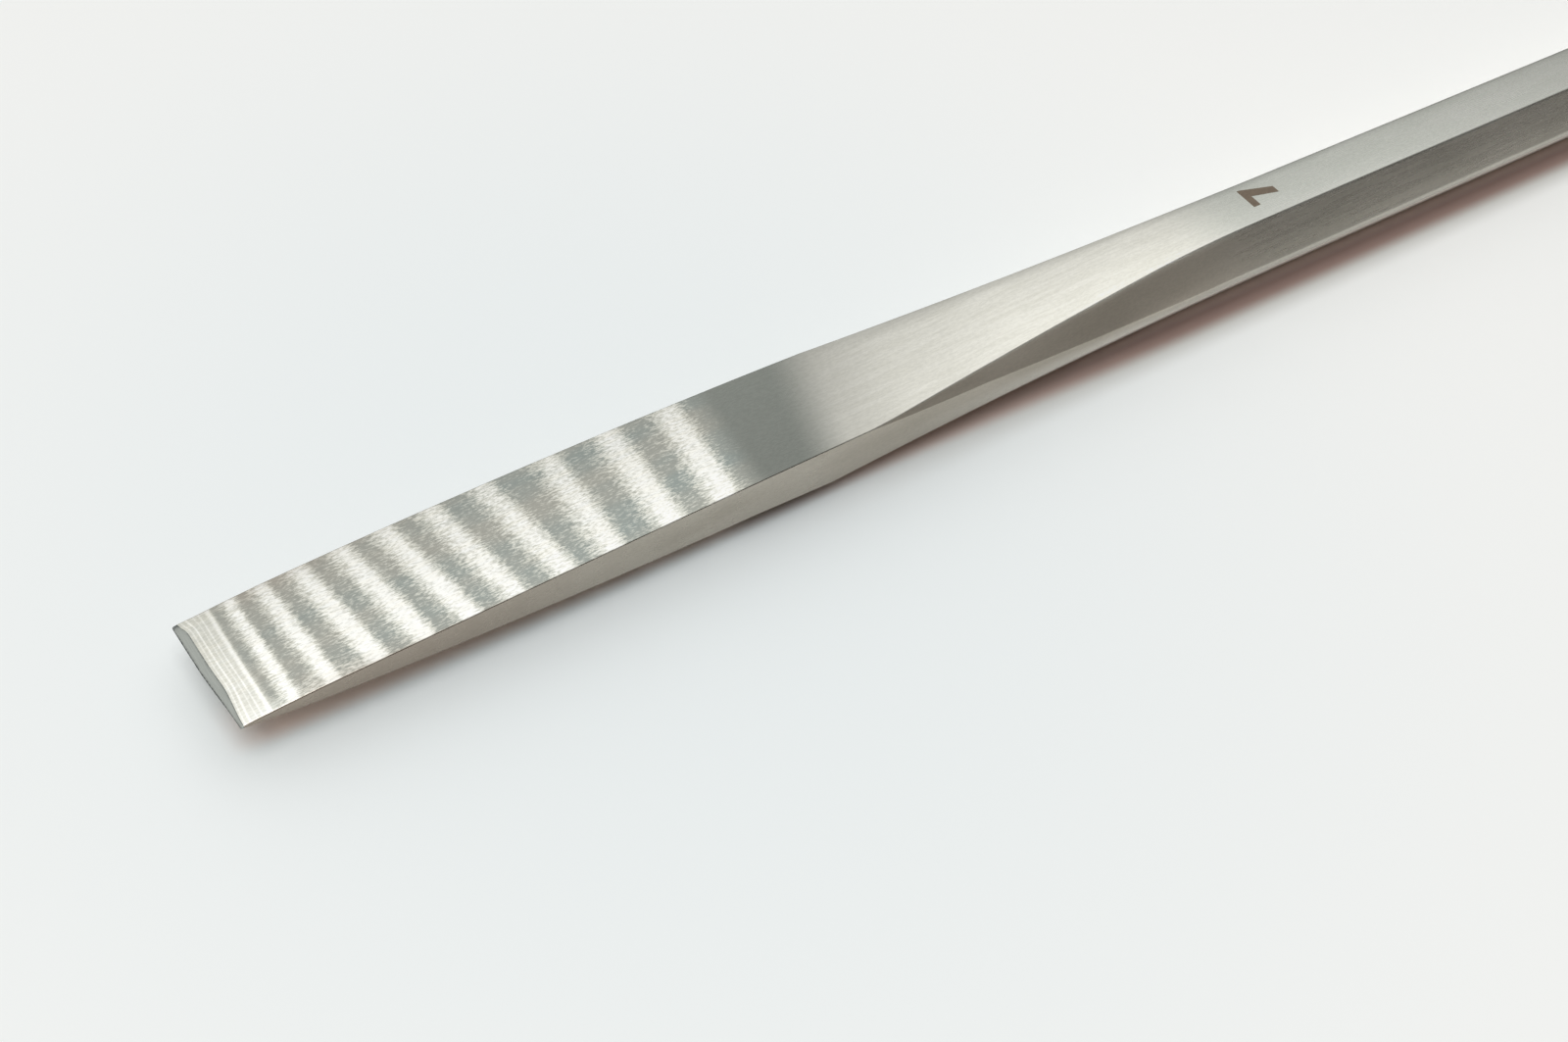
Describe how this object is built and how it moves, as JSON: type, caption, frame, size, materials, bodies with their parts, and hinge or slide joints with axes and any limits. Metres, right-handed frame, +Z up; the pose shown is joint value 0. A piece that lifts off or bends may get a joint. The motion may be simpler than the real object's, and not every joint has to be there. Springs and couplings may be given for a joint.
{
  "type": "osteotome",
  "caption": "Straight surgical osteotome: hexagonal steel bar handle tapering into a flat, double-bevelled chisel blade.",
  "frame": {"origin": "on the surface that the tool lies on, under the middle of its length and width", "axes": "+X along the tool from the cutting edge to the struck end, +Y across the blade, +Z up from the flat it lies on"},
  "size_m": [0.18, 0.0072, 0.0056],
  "materials": {
    "steel": "satin, ground across the blade"
  },
  "bodies": {
    "root": {"osteotome": "steel"}
  },
  "joints": []
}
